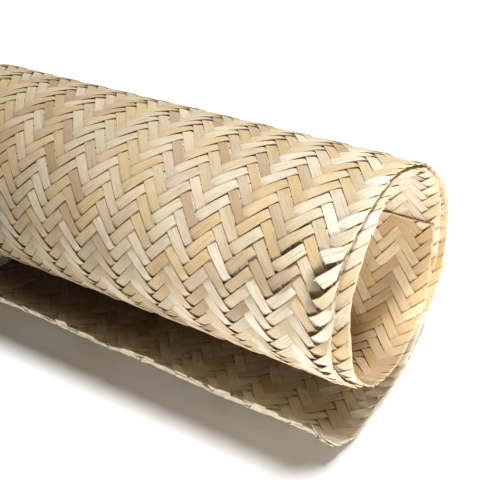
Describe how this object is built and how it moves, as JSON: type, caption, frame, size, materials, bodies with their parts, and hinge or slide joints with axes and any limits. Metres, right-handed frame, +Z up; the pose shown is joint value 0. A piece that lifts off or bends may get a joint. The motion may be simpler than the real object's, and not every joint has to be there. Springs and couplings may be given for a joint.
{
  "type": "rolled bamboo wall mat",
  "caption": "Plaited bamboo strip mat rolled up loosely and lying on its side, with an open end and its outer edge left as a low flap in front.",
  "frame": {"origin": "middle of the roll's footprint, on the surface it lies on", "axes": "+X along the roll towards its open right-hand end, +Y away from the free flap, +Z up"},
  "size_m": [0.3102, 0.1502, 0.148],
  "materials": {
    "bamboo": "matte"
  },
  "bodies": {
    "root": {"bamboo_mat": "bamboo"}
  },
  "joints": []
}
